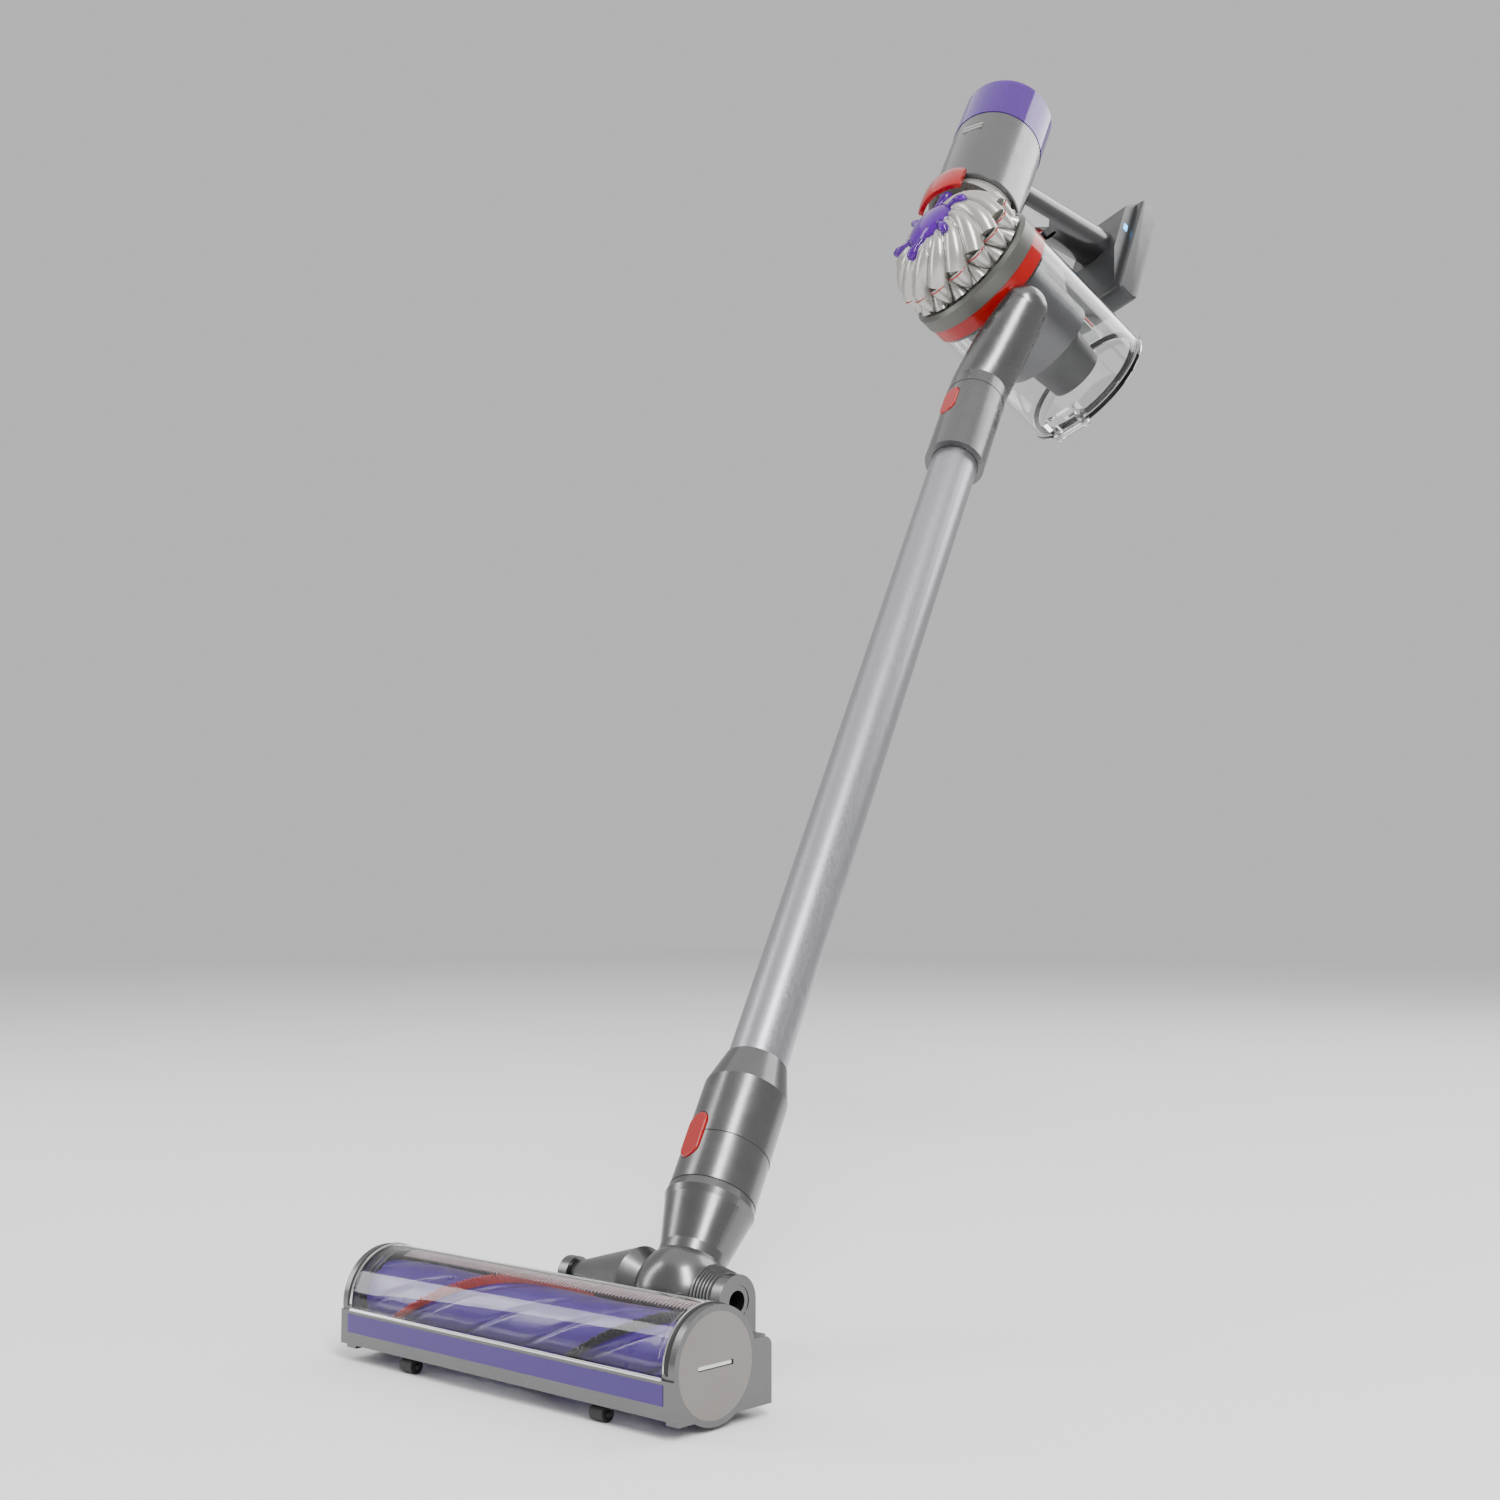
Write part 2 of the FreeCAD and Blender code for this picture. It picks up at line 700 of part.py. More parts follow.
# ---- cyclone pack -----------------------------------------------------------------------
def ring_point(radius, angle, y):
    turn = math.radians(angle)
    return V(radius * math.sin(turn), y, bin_z + radius * math.cos(turn))


def build_cones():
    """Front dome with its swirl of tapering cones."""
    dome = bin_turned([(pre_filter_r + GAP, lip_y), (pre_filter_r + GAP, cone_front_y + 2.0),
                       (24, cone_front_y + 2.0), (36, -84), (44, -74), (46, lip_y)])
    horns = []
    for number in range(cyclone_count):
        angle = 360.0 * number / cyclone_count
        front = ring_point(horn_front_at, angle, -85.5)
        back = ring_point(horn_back_at, angle + horn_swirl, lip_y + 6)
        way = back - front
        horns.append(Part.makeCone(horn_front_r, horn_back_r, way.Length, front, way))
    body = united([dome] + horns)
    body = body.cut(rod(pre_filter_r + GAP, V(0, cap_front_y, bin_z), Y, 60))
    return body.common(block(-80, 80, cone_front_y + 1.0, lip_y, bin_z - 80, bin_z + 80))


def build_lobes():
    """Second tier of cones, pointed towards the bin."""
    drum = bin_turned([(pre_filter_r + GAP, lip_y), (46, lip_y), (46, bezel_front),
                       (pre_filter_r + GAP, bezel_front)])
    lobes = []
    length = bezel_front - lip_y
    for number in range(cyclone_count):
        angle = 360.0 * (number + 0.5) / cyclone_count + horn_swirl
        start = ring_point(lobe_at, angle, lip_y)
        lobes.append(Part.makeCone(lobe_r, lobe_tip_r, length, start, Y))
    body = united([drum] + lobes)
    return body.cut(rod(pre_filter_r + GAP, V(0, cap_front_y, bin_z), Y, 60))


def build_bezel():
    return bin_turned([(pre_filter_r + 8, bezel_front), (bezel_r - 3, bezel_front),
                       (bezel_r, bezel_front + 3), (bezel_r, bezel_back), (pre_filter_r + 8, bezel_back)])


def build_shroud():
    return bin_turned([(pre_filter_r + 8, bezel_back), (shroud_r, bezel_back), (shroud_r, shroud_back),
                       (0, shroud_back), (0, shroud_back - 2), (shroud_r - 2, shroud_back - 2),
                       (shroud_r - 2, bezel_back + 3), (pre_filter_r + 8, bezel_back + 3)])


def build_inner_cone():
    return bin_turned([(0, shroud_back), (inner_cone_r + 5, shroud_back),
                       (inner_cone_r, shroud_back + 10), (inner_cone_r - 3, inner_cone_back),
                       (0, inner_cone_back)])


def build_bridge():
    """Plate over the cones that closes the space below the motor."""
    pad = rod(bridge_r, V(0, motor_y, bin_z), Z, motor_low - 0.6 - bin_z)
    hole = rod(motor_r - 14, V(0, motor_y, bin_z - 1), Z, 80)
    keep_out = rod(bezel_r - 1.5, V(0, cap_front_y - 5, bin_z), Y, 100)
    front_only = block(-60, 60, cap_front_y - 20, bezel_front, bin_z, bin_z + 80)
    return pad.cut(hole).cut(keep_out).common(front_only)


def build_lever():
    """Red release lever, curved round the front of the motor housing."""
    inner = motor_r + GAP
    band = sleeve(inner + lever_thick, inner, V(0, motor_y, lever_low), Z, lever_high - lever_low)
    lower = sleeve(inner + lever_thick, bridge_r + SEAT, V(0, motor_y, lever_low), Z,
                   motor_low - GAP - lever_low)
    body = united([band, lower])
    far = 2 * motor_r
    wedge_points = [V(0, motor_y, lever_low - 1)]
    for side in (-1, 1):
        turn = math.radians(lever_sweep * side)
        wedge_points.append(V(far * math.sin(turn), motor_y - far * math.cos(turn), lever_low - 1))
    wedge = Part.Face(Part.makePolygon(wedge_points + wedge_points[:1])).extrude(V(0, 0, 60))
    cap_room = rod(37, V(0, cap_front_y - 30, bin_z), Y, 100)
    return body.common(wedge).cut(cap_room)


def build_pre_filter_cap():
    disc = bin_turned([(0, cap_front_y), (cap_disc_r - 5, cap_front_y + 0.4),
                       (cap_disc_r, cap_front_y + 2.6), (cap_disc_r, cone_front_y), (0, cone_front_y)])
    claws = []
    for number in range(claw_count):
        claw = block(-3.6, 3.6, cap_front_y + 2.2, cone_front_y, bin_z + 12, bin_z + 31)
        foot = rod(5.0, V(0, cap_front_y + 2.2, bin_z + 31), Y, cone_front_y - cap_front_y - 2.2)
        claws.append(around(BIN, Y, 360.0 * number / claw_count, claw.fuse(foot)))
    return united([disc] + claws)


def build_pre_filter_core():
    return rod(pre_filter_r, V(0, cone_front_y, bin_z), Y, 40)


# ---- motor ------------------------------------------------------------------------------
def motor_turned(profile):
    """Revolve (radius, z) points about the motor's axis."""
    return turned(profile, V(0, motor_y, 0), Z)


def build_motor_housing():
    inside = motor_r - WALL
    return motor_turned([(18, motor_low), (motor_r - 1, motor_low), (motor_r, motor_low + 1),
                         (motor_r, cap_seam), (inside, cap_seam), (inside, motor_low + 3),
                         (18, motor_low + 3)])


def build_stator():
    """Ring of iron, with a plate at each end that carries the shaft."""
    ring = motor_turned([(stator_r - 8, 310), (stator_r, 310), (stator_r, 340), (stator_r - 8, 340)])
    plates = [sleeve(stator_r, shaft_r + RUN, V(0, motor_y, z), Z, 2.0) for z in (308, 340)]
    return united([ring] + plates)


def build_motor_mount():
    outer = motor_r - WALL - SEAT
    return sleeve(outer, stator_r + SEAT, V(0, motor_y, 318), Z, 12)


def build_impeller():
    """Shaft and bladed wheel in one piece."""
    shaft = rod(shaft_r, V(0, motor_y, 284), Z, 66)
    hub = motor_turned([(0, 284), (impeller_r, 284), (impeller_r, 286), (9, 300), (0, 300)])
    blades = []
    for number in range(9):
        blade = block(-0.8, 0.8, motor_y + 7, motor_y + impeller_r - 1, 285, 296)
        blades.append(around(V(0, motor_y, 0), Z, 40.0 * number, blade))
    return united([hub, shaft] + blades)


def build_filter_cap():
    """Translucent cap that closes the top of the motor."""
    outer = motor_r + 0.5
    return motor_turned([(outer, cap_seam + 0.4), (outer, motor_top - 9), (outer - 3, motor_top - 3),
                         (outer - 9, motor_top), (0, motor_top), (0, motor_top - 2.4),
                         (outer - 9, motor_top - 2.4), (outer - 5, motor_top - 6),
                         (outer - 2.4, motor_top - 11), (outer - 2.4, cap_seam + 0.4)])


def build_filter_pleats():
    low = cap_seam + 6
    points = []
    pleats = 36
    for number in range(2 * pleats):
        radius = 33.0 if number % 2 == 0 else 27.0
        turn = math.pi * number / pleats
        points.append(V(radius * math.cos(turn), motor_y + radius * math.sin(turn), low))
    star = Part.Face(Part.makePolygon(points + points[:1])).extrude(V(0, 0, motor_top - 8 - low))
    return star.cut(rod(22, V(0, motor_y, low - 1), Z, 80))


# ---- handle and battery -----------------------------------------------------------------
def handle_rod(radius, start, length):
    return rod(radius, handle_start + handle_dir * start, handle_dir, length)


def motor_keep_out(clearance):
    return rod(motor_r + clearance, V(0, motor_y, motor_low - 20), Z, motor_top - motor_low)


def trigger_room():
    return block(-6.0 - GAP, 6.0 + GAP, -22, 24, handle_z - 40, handle_z - 6)


def build_spine():
    """Neck between the motor housing, the handle and the bin's rail."""
    web = prism_x([(-40, runner_top), (-40, handle_z + 4), (2, handle_z + 8), (8, handle_z - 22),
                   (-6, handle_z - 40), (8, runner_top + 8), (30, runner_top)], 12)
    root = handle_rod(handle_r, -30, 30 + root_len)
    body = united([web, root]).cut(motor_keep_out(SEAT)).cut(bin_envelope())
    return body.cut(trigger_room())


def handle_length():
    """Along the handle's axis, from its start to the front of the battery."""
    return (battery_front - handle_y) / handle_dir.y


def build_handle_half(side):
    length = handle_length() + handle_r
    shell = handle_rod(handle_r, root_len, length).cut(handle_rod(handle_r - handle_wall, root_len - 1,
                                                                length + 2))
    shell = shell.common(block(-60, 60, -20, battery_front, 200, 500))
    half = block(0, 60, -20, 200, 200, 500) if side > 0 else block(-60, 0, -20, 200, 200, 500)
    return shell.common(half)


def build_circuit_board():
    board = block(-11, 11, 18, 62, -0.8, 0.8)
    board.rotate(V(0, 0, 0), X, handle_rise)
    board.translate(handle_start)
    return board


def build_trigger():
    """Red trigger under the root of the handle, with its stem."""
    pad = prism_x([(-12, handle_z - 34), (-8, handle_z - 36), (4, handle_z - 32),
                   (7, handle_z - 27), (7, handle_z - 21), (-12, handle_z - 26)], 6.0)
    stem = block(-4, 4, -10, 2, handle_z - 30, handle_z - 12)
    return united([pad, stem])


def block_outline(inset):
    return [(battery_front + inset, handle_z + 12 + inset), (slab_front, slab_low + 5 + inset),
            (slab_front, slab_high - 3 - inset), (battery_front + inset, slab_high - 22 - inset)]


def build_battery_block():
    """The battery's inner half, between the handle and the slab."""
    outside = prism_x(block_outline(0.0), block_w / 2)
    lens_hole = lens_shape()
    return outside.cut(lens_hole)


def lens_place():
    return V(block_w / 2, battery_front + 6, slab_high - 50)


def lens_shape():
    place = lens_place()
    return block(place.x - 2, place.x + 0.3, place.y - 2.4, place.y + 2.4, place.z - 4.5, place.z + 4.5)


def build_battery_slab():
    slab = block(-slab_w / 2, slab_w / 2, slab_front, slab_back, slab_low, slab_high)
    upright = [e for e in slab.Edges if e.BoundBox.YLength > slab_back - slab_front - 0.1]
    slab = slab.makeFillet(slab_corner_r, upright)
    back = [e for e in slab.Edges if e.BoundBox.YMin > slab_back - 0.1]
    slab = slab.makeFillet(slab_edge_r, back)
    hollow = block(-slab_w / 2 + WALL, slab_w / 2 - WALL, slab_front + WALL, slab_back - WALL,
                   slab_low + slab_floor, slab_high - 3 * WALL)
    return slab.cut(hollow).cut(rod(socket_r, socket_mouth(), Y * -1, socket_len))


def socket_mouth():
    return V(0, slab_back, slab_low + slab_floor - socket_r - WALL)


def cell_place(number):
    pitch = 2 * cell_r + cell_gap
    low = slab_low + slab_floor + cell_r + 1
    return V(0, (slab_front + slab_back) / 2, low + pitch * number)


def build_cells():
    """Row of round cells, joined by their welded end straps."""
    length = slab_w - 2 * slab_edge_r - 2 * WALL
    places = [cell_place(number) for number in range(cell_count)]
    cells = [rod(cell_r, V(-length / 2, place.y, place.z), X, length) for place in places]
    strap = block(-length / 2, length / 2, places[0].y - 3, places[0].y + 3, places[0].z, places[-1].z)
    return united(cells + [strap])


def build_mode_slider():
    at = handle_rod(handle_r + 2.2, 24, 12).cut(handle_rod(handle_r + 0.2, 20, 20))
    return at.common(block(-5, 5, 0, 60, handle_z + 10, 500))


# ---- write every node -------------------------------------------------------------------
machine_nodes = {
    "wand_tube": build_tube,
    "wand_plug": build_plug,
    "wand_collar_upper": build_collar_top,
    "wand_collar_lower": build_collar_low,
    "wand_button": build_wand_button,
    "inlet_duct": build_inlet,
    "inlet_button": build_inlet_button,
    "clear_bin": build_bin,
    "bin_red_ring": build_red_ring,
    "bin_wiper": build_wiper,
    "bin_runner": build_runner,
    "base_flap": build_flap,
    "base_seal": build_flap_seal,
    "base_hinge_pin": build_hinge_pin,
    "base_hinge_lugs": build_hinge_lugs,
    "cyclone_cones": build_cones,
    "cyclone_lobes": build_lobes,
    "bezel_ring": build_bezel,
    "shroud": build_shroud,
    "shroud_cone": build_inner_cone,
    "pack_bridge": build_bridge,
    "release_lever": build_lever,
    "pre_filter_cap": build_pre_filter_cap,
    "pre_filter_core": build_pre_filter_core,
    "motor_housing": build_motor_housing,
    "motor_stator": build_stator,
    "motor_mount": build_motor_mount,
    "motor_impeller": build_impeller,
    "post_filter_cap": build_filter_cap,
    "post_filter_pleats": build_filter_pleats,
    "spine": build_spine,
    "circuit_board": build_circuit_board,
    "trigger": build_trigger,
    "mode_slider": build_mode_slider,
    "battery_block": build_battery_block,
    "battery_slab": build_battery_slab,
    "battery_cells": build_cells,
    "charge_lens": lens_shape,
}
neck_nodes = {
    "neck_elbow": build_neck_elbow,
    "neck_spigot": build_neck_spigot,
}
head_nodes = {
    "neck_barrel": build_barrel,
    "neck_hub": build_hub,
    "swivel_pin": build_swivel_pin,
    "head_chassis": build_chassis,
    "head_side_frame": build_side_frame,
    "head_left_cap": build_left_cap,
    "window_cover": build_cover,
    "window_comb": build_comb,
    "felt_strip": build_felt,
    "end_cap": build_end_cap,
    "brush_core": build_brush_core,
    "brush_motor": build_brush_motor,
}
for table, frame in ((machine_nodes, MACHINE), (neck_nodes, NECK), (head_nodes, HEAD)):
    for node, builder in table.items():
        save(node, builder(), frame)
save("handle_right", build_handle_half(1), MACHINE)
save("handle_left", build_handle_half(-1), MACHINE)
save("brush_bristles_red", build_bristles(134), HEAD)
save("brush_bristles_black", build_bristles(-46), HEAD)
save("front_roller_left", build_roller(-roller_x), HEAD)
save("front_roller_right", build_roller(roller_x), HEAD)
save("rear_wheel_left", build_rear_wheel(-1), HEAD)
save("rear_wheel_right", build_rear_wheel(1), HEAD)
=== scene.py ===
import json
import math
import random

import bmesh
import bpy
from mathutils import Matrix, Vector


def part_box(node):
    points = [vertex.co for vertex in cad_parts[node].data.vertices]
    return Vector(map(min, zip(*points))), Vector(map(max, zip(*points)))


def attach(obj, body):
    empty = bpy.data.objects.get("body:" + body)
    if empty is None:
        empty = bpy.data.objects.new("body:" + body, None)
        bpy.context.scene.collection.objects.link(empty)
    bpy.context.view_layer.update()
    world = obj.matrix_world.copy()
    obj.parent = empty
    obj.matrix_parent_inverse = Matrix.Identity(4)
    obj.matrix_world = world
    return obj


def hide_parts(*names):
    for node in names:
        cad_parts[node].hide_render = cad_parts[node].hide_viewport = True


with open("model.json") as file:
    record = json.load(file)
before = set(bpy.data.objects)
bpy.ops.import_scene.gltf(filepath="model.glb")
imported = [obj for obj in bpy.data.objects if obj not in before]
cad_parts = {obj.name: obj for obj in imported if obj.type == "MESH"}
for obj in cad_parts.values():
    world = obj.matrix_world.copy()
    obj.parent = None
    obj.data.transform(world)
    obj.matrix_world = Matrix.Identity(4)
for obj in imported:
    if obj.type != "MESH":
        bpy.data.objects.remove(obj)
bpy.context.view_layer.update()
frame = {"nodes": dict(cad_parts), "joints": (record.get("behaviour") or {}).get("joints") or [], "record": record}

NODES = frame["nodes"]
JOINTS = {joint["name"]: joint for joint in frame["joints"]}
random.seed(7)
MM = 0.001

# ---- the design's local frames, rebuilt from the joints ----------------------------------
RISE = math.radians(24.5)                  # the handle's climb towards the battery
GRIP = Vector((0.0, 42.0 * math.cos(RISE), 352.0 + 42.0 * math.sin(RISE)))  # the row's origin, mm
BALL_IN_HEAD = Vector((5.0, 100.0, 34.0))  # the neck's ball, in the head's frame, mm


def axis_of(joint):
    return Vector(JOINTS[joint]["axis"]).normalized()


def machine_frame():
    """x right, y back, z up along the wand, origin at the inlet's mouth; takes mm."""
    up = -axis_of("wand_pull")
    back = -axis_of("pack_lift")
    back = (back - up * back.dot(up)).normalized()
    turn = Matrix((back.cross(up), back, up)).transposed()
    place = turn.to_4x4()
    place.translation = -(turn @ (GRIP * MM))
    return place @ Matrix.Scale(MM, 4)


def head_frame():
    """x right, y back, z up from the floor, y = 0 at the brush bar's axis; takes mm."""
    ball = Vector(JOINTS["head_pitch"]["pos_m"])
    return Matrix.Translation(ball - BALL_IN_HEAD * MM) @ Matrix.Scale(MM, 4)


MACHINE = machine_frame()
HEAD = head_frame()

# Sizes of the design, in mm
BIN_Z = 213.3
MOTOR_Y = -60.4
MOTOR_R = 39.0
AXIS_Z = 30.0
TUBE_END = -565.0
LIP_Y = -66.0
CYCLONES = 15
SWIRL = 40                                 # degrees that a rib turns on its way out
PITCH = 360 / CYCLONES
LIP_RING_R = 48.5                          # circle through the middles of the cyclones' lips
LIP_R = 8.9
CORE_R = 17.6                              # bore round the pre-filter
COLLAR_SEAM_R = 25.32
INLET_SEAM_R = 23.32


# ---- materials ---------------------------------------------------------------------------
def new_material(name):
    material = bpy.data.materials.new(name)
    material.use_nodes = True
    tree = material.node_tree
    tree.nodes.clear()
    output = tree.nodes.new("ShaderNodeOutputMaterial")
    shader = tree.nodes.new("ShaderNodeBsdfPrincipled")
    tree.links.new(shader.outputs[0], output.inputs[0])
    return material, tree, shader


def shader_of(material):
    return next(node for node in material.node_tree.nodes if node.type == "BSDF_PRINCIPLED")


def noise(tree, scale, detail=3.0, stretch=(1, 1, 1)):
    """Noise in the object's own metres, optionally stretched into streaks."""
    place = tree.nodes.new("ShaderNodeTexCoord")
    mapping = tree.nodes.new("ShaderNodeMapping")
    mapping.inputs["Scale"].default_value = stretch
    texture = tree.nodes.new("ShaderNodeTexNoise")
    texture.inputs["Scale"].default_value = scale
    texture.inputs["Detail"].default_value = detail
    tree.links.new(place.outputs["Object"], mapping.inputs[0])
    tree.links.new(mapping.outputs[0], texture.inputs["Vector"])
    return texture.outputs["Fac"]


def spread(tree, value, low, high):
    """Map a 0.3 to 0.7 noise value onto low to high."""
    node = tree.nodes.new("ShaderNodeMapRange")
    node.inputs["From Min"].default_value = 0.3
    node.inputs["From Max"].default_value = 0.7
    node.inputs["To Min"].default_value = low
    node.inputs["To Max"].default_value = high
    tree.links.new(value, node.inputs["Value"])
    return node.outputs["Result"]


def tinted(tree, shader, colour, value, change):
    """Vary the base colour a little, by a noise value."""
    mix = tree.nodes.new("ShaderNodeMix")
    mix.data_type = "RGBA"
    dark = [channel * (1 - change) for channel in colour]
    light = [min(1.0, channel * (1 + change)) for channel in colour]
    mix.inputs[6].default_value = (*dark, 1)
    mix.inputs[7].default_value = (*light, 1)
    tree.links.new(value, mix.inputs[0])
    tree.links.new(mix.outputs[2], shader.inputs["Base Color"])


def bumped(tree, shader, value, strength, distance):
    node = tree.nodes.new("ShaderNodeBump")
    node.inputs["Strength"].default_value = strength
    node.inputs["Distance"].default_value = distance
    tree.links.new(value, node.inputs["Height"])
    tree.links.new(node.outputs[0], shader.inputs["Normal"])


def plastic(name, colour, rough=0.3, metal=0.0, coat=0.0, grain=260, bump=0.012):
    """Moulded or painted plastic: fine orange peel, uneven gloss and faint colour clouds."""
    material, tree, shader = new_material(name)
    shader.inputs["Metallic"].default_value = metal
    shader.inputs["Coat Weight"].default_value = coat
    shader.inputs["Coat Roughness"].default_value = 0.08
    tinted(tree, shader, colour, spread(tree, noise(tree, 30), 0, 1), 0.04)
    worn = spread(tree, noise(tree, 70, 2), rough - 0.03, rough + 0.03)
    tree.links.new(worn, shader.inputs["Roughness"])
    bumped(tree, shader, noise(tree, grain, 2), bump, 0.0002)
    return material


def clear(name, colour, rough, ior, transmission=1.0):
    """Moulded clear plastic with faint flow lines and hairline scuffs."""
    material, tree, shader = new_material(name)
    shader.inputs["Transmission Weight"].default_value = transmission
    shader.inputs["IOR"].default_value = ior
    tinted(tree, shader, colour, spread(tree, noise(tree, 60), 0, 1), 0.03)
    scuffs = spread(tree, noise(tree, 400, 8, (1, 1, 9)), rough * 0.5, rough * 2.0)
    tree.links.new(scuffs, shader.inputs["Roughness"])
    bumped(tree, shader, noise(tree, 45, 1), 0.04, 0.0003)
    return material


def fibre(name, colour):
    """Felt or bristle: matte, mottled at the scale of single fibres."""
    material, tree, shader = new_material(name)
    shader.inputs["Roughness"].default_value = 0.85
    shader.inputs["Sheen Weight"].default_value = 0.4
    value = spread(tree, noise(tree, 2500, 4, (1, 1, 3)), 0, 1)
    tinted(tree, shader, colour, value, 0.35)
    bumped(tree, shader, noise(tree, 3500, 3), 0.5, 0.0004)
    return material


def satin_metal(name, colour, rough, stretch):
    """Drawn and anodised metal with fine streaks along its length."""
    material, tree, shader = new_material(name)
    shader.inputs["Metallic"].default_value = 1.0
    streaks = noise(tree, 900, 3, stretch)
    tinted(tree, shader, colour, spread(tree, streaks, 0, 1), 0.05)
    tree.links.new(spread(tree, streaks, rough - 0.05, rough + 0.07), shader.inputs["Roughness"])
    bumped(tree, shader, streaks, 0.02, 0.0001)
    return material


def mesh_screen(name, colour):
    """Grey shroud with rows of fine round holes."""
    material = plastic(name, colour, 0.35, 0.7)
    tree = material.node_tree
    shader = shader_of(material)
    place = tree.nodes.new("ShaderNodeTexCoord")
    cells = tree.nodes.new("ShaderNodeTexVoronoi")
    cells.inputs["Scale"].default_value = 650
    cells.inputs["Randomness"].default_value = 0.15
    tree.links.new(place.outputs["Object"], cells.inputs["Vector"])
    bumped(tree, shader, cells.outputs["Distance"], 0.35, 0.0004)
    return material


MATERIALS = {
    "wand_satin": satin_metal("wand_satin", (0.40, 0.40, 0.43), 0.34, (1, 1, 0.04)),
    "nickel": plastic("nickel", (0.15, 0.15, 0.152), 0.27, 0.95, 0.2),
    "handle_grey": plastic("handle_grey", (0.075, 0.075, 0.078), 0.24, 0.8, 0.4),
    "dark_matte": plastic("dark_matte", (0.016, 0.016, 0.018), 0.45, 0.0, grain=1200, bump=0.1),
    "battery_grey": plastic("battery_grey", (0.050, 0.051, 0.053), 0.40, 0.5, bump=0.05),
    "cyclone_silver": plastic("cyclone_silver", (0.45, 0.44, 0.415), 0.28, 0.7, 0.2),
    "bezel_olive": plastic("bezel_olive", (0.10, 0.10, 0.09), 0.36, 0.5, bump=0.05),
    "red": plastic("red", (0.34, 0.0, 0.0), 0.24, 0.0, 0.25),
    "red_clear": clear("red_clear", (0.50, 0.001, 0.001), 0.06, 1.45, 0.45),
    "purple_clear": clear("purple_clear", (0.15, 0.004, 0.46), 0.06, 1.45, 0.7),
    "clear": clear("clear", (0.97, 0.98, 0.98), 0.015, 1.3),
    "seal_black": plastic("seal_black", (0.015, 0.015, 0.015), 0.6, grain=900, bump=0.3),
    "filter_white": fibre("filter_white", (0.78, 0.78, 0.80)),
    "brush_purple": plastic("brush_purple", (0.045, 0.002, 0.24), 0.30, 0.0, 0.4),
    "bristle_red": fibre("bristle_red", (0.50, 0.002, 0.002)),
    "bristle_black": fibre("bristle_black", (0.012, 0.012, 0.014)),
    "felt_purple": fibre("felt_purple", (0.032, 0.003, 0.16)),
    "comb_pale": plastic("comb_pale", (0.80, 0.62, 0.60), 0.4),
    "cap_taupe": plastic("cap_taupe", (0.23, 0.215, 0.205), 0.33, 0.8, 0.2, grain=2200, bump=0.04),
    "steel": satin_metal("steel", (0.55, 0.55, 0.56), 0.3, (1, 1, 0.1)),
    "board_green": plastic("board_green", (0.01, 0.09, 0.03), 0.4),
    "cell_wrap": plastic("cell_wrap", (0.04, 0.20, 0.10), 0.35),
    "lens_blue": plastic("lens_blue", (0.05, 0.35, 0.8), 0.2),
    "shroud_mesh": mesh_screen("shroud_mesh", (0.10, 0.10, 0.105)),
    # shiny light grey for lines and inserts; on the window's top edge and ends it is a painted highlight
    "chrome_and_highlight_line": plastic("chrome_and_highlight_line", (0.7, 0.7, 0.7), 0.12, 1.0),
}
lens_shader = shader_of(MATERIALS["lens_blue"])
lens_shader.inputs["Emission Color"].default_value = (0.05, 0.4, 1.0, 1)
lens_shader.inputs["Emission Strength"].default_value = 2.5

SPECIAL = {"shroud": "shroud_mesh"}


def smooth(obj, angle=32):
    for polygon in obj.data.polygons:
        polygon.use_smooth = True
    obj.data.set_sharp_from_angle(angle=math.radians(angle))


def dress_cad():
    """Give every CAD node its finished material."""
    slots = {part["node"]: part["material_slot"] for part in frame["record"]["subparts"]}
    for name, obj in NODES.items():
        material = MATERIALS[SPECIAL.get(name, slots[name])]
        obj.data.materials.clear()
        obj.data.materials.append(material)


# ---- mesh helpers ------------------------------------------------------------------------
def finished(name, body, material, mesh, place, angle=40):
    """Turn a bmesh in local millimetres into a piece that rides on a body."""
    bmesh.ops.remove_doubles(mesh, verts=mesh.verts, dist=1e-4)
    bmesh.ops.recalc_face_normals(mesh, faces=mesh.faces)
    data = bpy.data.meshes.new(name)
    mesh.to_mesh(data)
    mesh.free()
    data.transform(place)
    obj = bpy.data.objects.new(name, data)
    bpy.context.scene.collection.objects.link(obj)
    data.materials.append(MATERIALS[material])
    smooth(obj, angle)
    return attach(obj, body)


def skin(mesh, rings):
    """Close a row of equal rings into a solid: quads between them, a face on each end."""
    count = len(rings[0])
    for low, high in zip(rings, rings[1:]):
        for step in range(count):
            after = (step + 1) % count
            mesh.faces.new((low[step], low[after], high[after], high[step]))
    mesh.faces.new(list(reversed(rings[0])))
    mesh.faces.new(rings[-1])


def add_tube(mesh, points, radii, sides=16, flatten=1.0):
    """Closed tube through points, with a radius at each point and flat ends."""
    rings = []
    count = len(points)
    side = None
    for index, (point, radius) in enumerate(zip(points, radii)):
        ahead = points[min(index + 1, count - 1)] - points[max(index - 1, 0)]
        ahead.normalize()
        if side is None:
            side = ahead.orthogonal().normalized()
        side = (side - ahead * side.dot(ahead)).normalized()
        other = ahead.cross(side)
        ring = []
        for step in range(sides):
            turn = 2 * math.pi * step / sides
            ring.append(mesh.verts.new(point + side * (radius * math.cos(turn))
                                       + other * (radius * flatten * math.sin(turn))))
        rings.append(ring)
    skin(mesh, rings)


